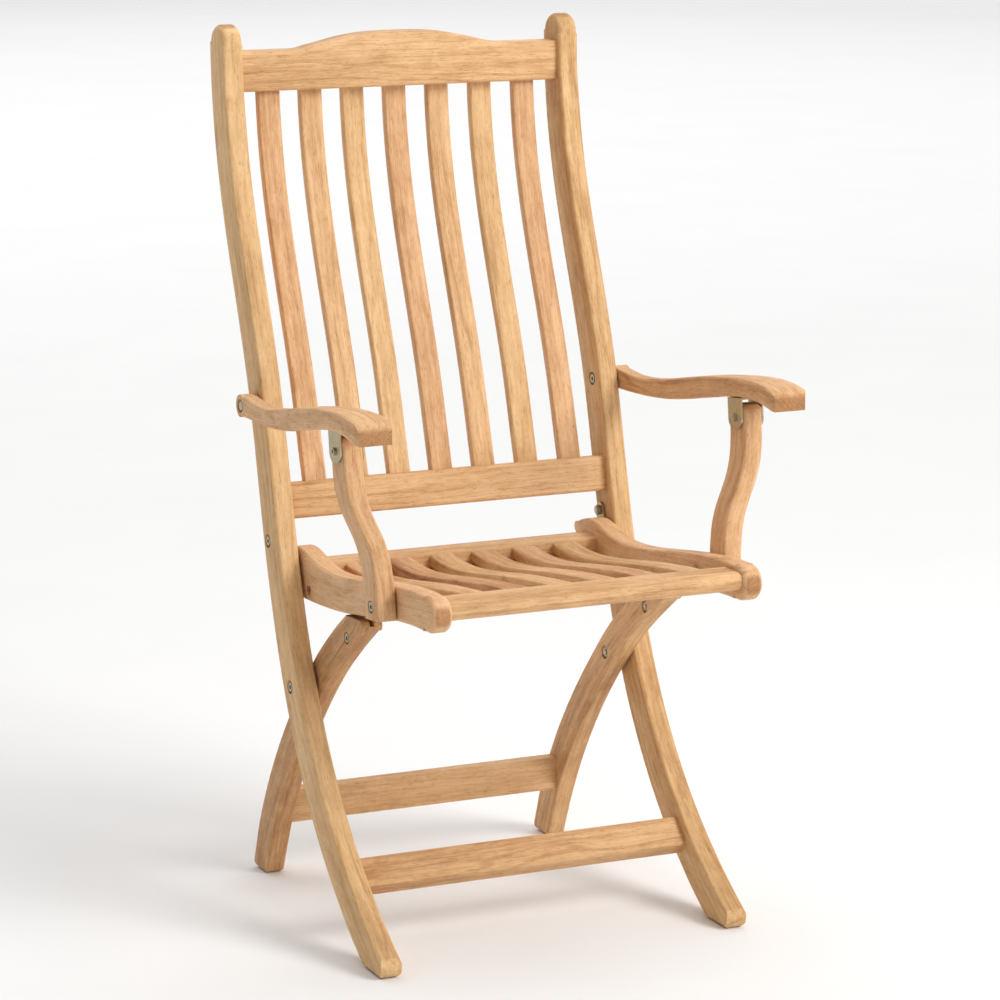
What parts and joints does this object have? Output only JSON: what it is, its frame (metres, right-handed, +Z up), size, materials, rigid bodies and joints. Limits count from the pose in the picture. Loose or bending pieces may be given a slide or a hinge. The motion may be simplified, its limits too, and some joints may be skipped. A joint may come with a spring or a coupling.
{
  "type": "folding carver chair",
  "caption": "Folding garden carver chair in hardwood: high slatted back on curved stiles, dished slat seat, crossing rear legs, and scrolled arms on bent supports.",
  "frame": {"origin": "on the floor under the middle of the chair's bounding box", "axes": "+Z up; the sitter faces -Y; +X to the right of the chair seen from the front"},
  "size_m": [0.5848, 0.6266, 1.09],
  "materials": {
    "frame_wood": "satin, sanded bare hardwood, honey tan",
    "seat_wood": "satin, sanded bare hardwood, slightly pinker",
    "arm_wood": "satin, sanded bare hardwood, slightly greyer",
    "dowel_wood": "turned hardwood dowel",
    "zinc_steel": "yellow passivated zinc plate"
  },
  "bodies": {
    "back_frame": {"left_stile": "frame_wood", "right_stile": "frame_wood", "crest_rail": "frame_wood", "lower_back_rail": "frame_wood", "back_slat_1": "frame_wood", "back_slat_2": "frame_wood", "back_slat_3": "frame_wood", "back_slat_4": "frame_wood", "back_slat_5": "frame_wood", "back_slat_6": "frame_wood", "back_slat_7": "frame_wood", "front_stretcher": "frame_wood", "leg_pivot_bolts": "zinc_steel", "leg_pivot_nuts": "zinc_steel", "leg_pivot_spacers": "zinc_steel", "seat_pivot_bolts": "zinc_steel", "seat_pivot_nuts": "zinc_steel", "arm_pivot_bolts": "zinc_steel", "arm_pivot_nuts": "zinc_steel", "arm_pivot_spacers": "zinc_steel", "pivot_washers": "zinc_steel", "back_frame_dowels": "dowel_wood"},
    "rear_legs": {"left_rear_leg": "frame_wood", "right_rear_leg": "frame_wood", "rear_stretcher": "frame_wood", "catch_bolts": "zinc_steel", "catch_nuts": "zinc_steel", "leg_frame_dowels": "dowel_wood"},
    "seat": {"left_seat_rail": "seat_wood", "right_seat_rail": "seat_wood", "seat_front_rail": "seat_wood", "seat_rear_rail": "seat_wood", "seat_batten": "seat_wood", "seat_slat_1": "seat_wood", "seat_slat_2": "seat_wood", "seat_slat_3": "seat_wood", "seat_slat_4": "seat_wood", "seat_slat_5": "seat_wood", "seat_slat_6": "seat_wood", "left_seat_plate": "zinc_steel", "right_seat_plate": "zinc_steel", "seat_plate_screws": "zinc_steel", "left_catch_plate": "zinc_steel", "right_catch_plate": "zinc_steel", "catch_pins": "zinc_steel", "batten_screws": "zinc_steel", "seat_frame_dowels": "dowel_wood"},
    "left_arm_body": {"left_arm": "arm_wood", "left_arm_bracket": "zinc_steel", "left_bracket_bolt": "zinc_steel"},
    "right_arm_body": {"right_arm": "arm_wood", "right_arm_bracket": "zinc_steel", "right_bracket_bolt": "zinc_steel"},
    "left_support_body": {"left_arm_support": "arm_wood", "left_support_bolt": "zinc_steel"},
    "right_support_body": {"right_arm_support": "arm_wood", "right_support_bolt": "zinc_steel"}
  },
  "joints": [
    {"name": "seat_fold", "type": "hinge", "parent": "back_frame", "child": "seat", "pos_m": [0, 0.1312, 0.463], "axis": [-1, 0, 0], "range_deg": [0, 72]},
    {"name": "leg_fold", "type": "hinge", "parent": "back_frame", "child": "rear_legs", "pos_m": [0, 0.0617, 0.292], "axis": [-1, 0, 0], "range_deg": [0, 46.2]},
    {"name": "left_arm_fold", "type": "hinge", "parent": "back_frame", "child": "left_arm_body", "pos_m": [-0.256, 0.1622, 0.63], "axis": [-1, 0, 0], "range_deg": [0, 69.8]},
    {"name": "left_support_fold", "type": "hinge", "parent": "left_arm_body", "child": "left_support_body", "pos_m": [-0.2635, -0.1738, 0.632], "axis": [1, 0, 0], "range_deg": [0, 64.9]},
    {"name": "right_arm_fold", "type": "hinge", "parent": "back_frame", "child": "right_arm_body", "pos_m": [0.256, 0.1622, 0.63], "axis": [-1, 0, 0], "range_deg": [0, 69.8]},
    {"name": "right_support_fold", "type": "hinge", "parent": "right_arm_body", "child": "right_support_body", "pos_m": [0.2635, -0.1738, 0.632], "axis": [1, 0, 0], "range_deg": [0, 64.9]}
  ],
  "couplings": [
    {"joint": "leg_fold", "follows": "seat_fold", "ratio": 0.64},
    {"joint": "left_arm_fold", "follows": "seat_fold", "ratio": 0.9675},
    {"joint": "left_support_fold", "follows": "seat_fold", "ratio": 0.8988},
    {"joint": "right_arm_fold", "follows": "seat_fold", "ratio": 0.9675},
    {"joint": "right_support_fold", "follows": "seat_fold", "ratio": 0.8988}
  ]
}
